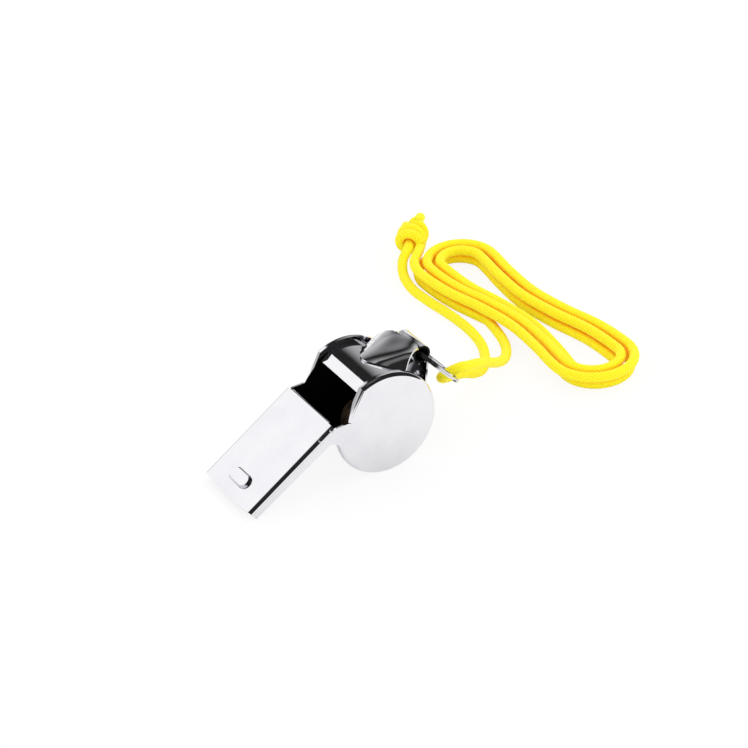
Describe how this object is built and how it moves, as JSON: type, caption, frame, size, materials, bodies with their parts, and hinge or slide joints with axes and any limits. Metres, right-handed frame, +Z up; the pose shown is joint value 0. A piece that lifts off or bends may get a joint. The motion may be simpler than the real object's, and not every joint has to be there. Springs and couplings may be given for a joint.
{
  "type": "sports whistle",
  "caption": "Pea whistle pressed from polished sheet steel, with a cork ball in its barrel, a split ring in its sleeve and a knotted neck cord.",
  "frame": {"origin": "on the ground, under the middle of the box of the metal parts as the whistle lies on its side plates' rims and the tip of its mouthpiece", "axes": "+Z up, -X towards the mouthpiece, +X towards the split ring, +Y along the barrel's axis towards the player's left"},
  "size_m": [0.1034, 0.0856, 0.0244],
  "materials": {
    "steel": "polished stainless steel sheet",
    "ring_steel": "nickel-plated spring steel wire",
    "cork": "natural cork",
    "cord": "braided yellow polyester cord"
  },
  "bodies": {
    "whistle": {"side_plate_right": "steel", "side_plate_left": "steel", "mouthpiece_roof": "steel", "windway_tongue": "steel", "floor_band": "steel", "barrel_band": "steel", "ring_hood": "steel", "lanyard_lead": "cord", "lanyard_hank": "cord", "lanyard_knot": "cord"},
    "cork_ball": {"cork_ball": "cork"},
    "split_ring": {"split_ring": "ring_steel"}
  },
  "joints": [
    {"name": "ball_roll", "type": "hinge", "parent": "whistle", "child": "cork_ball", "pos_m": [0.00637, 0, 0.012], "axis": [0, 1, 0], "continuous": true},
    {"name": "ring_swing", "type": "hinge", "parent": "whistle", "child": "split_ring", "pos_m": [0.01866, 0, 0.02204], "axis": [0, 1, 0], "range_deg": [-140, 40], "deforming": ["lanyard_lead"]}
  ]
}
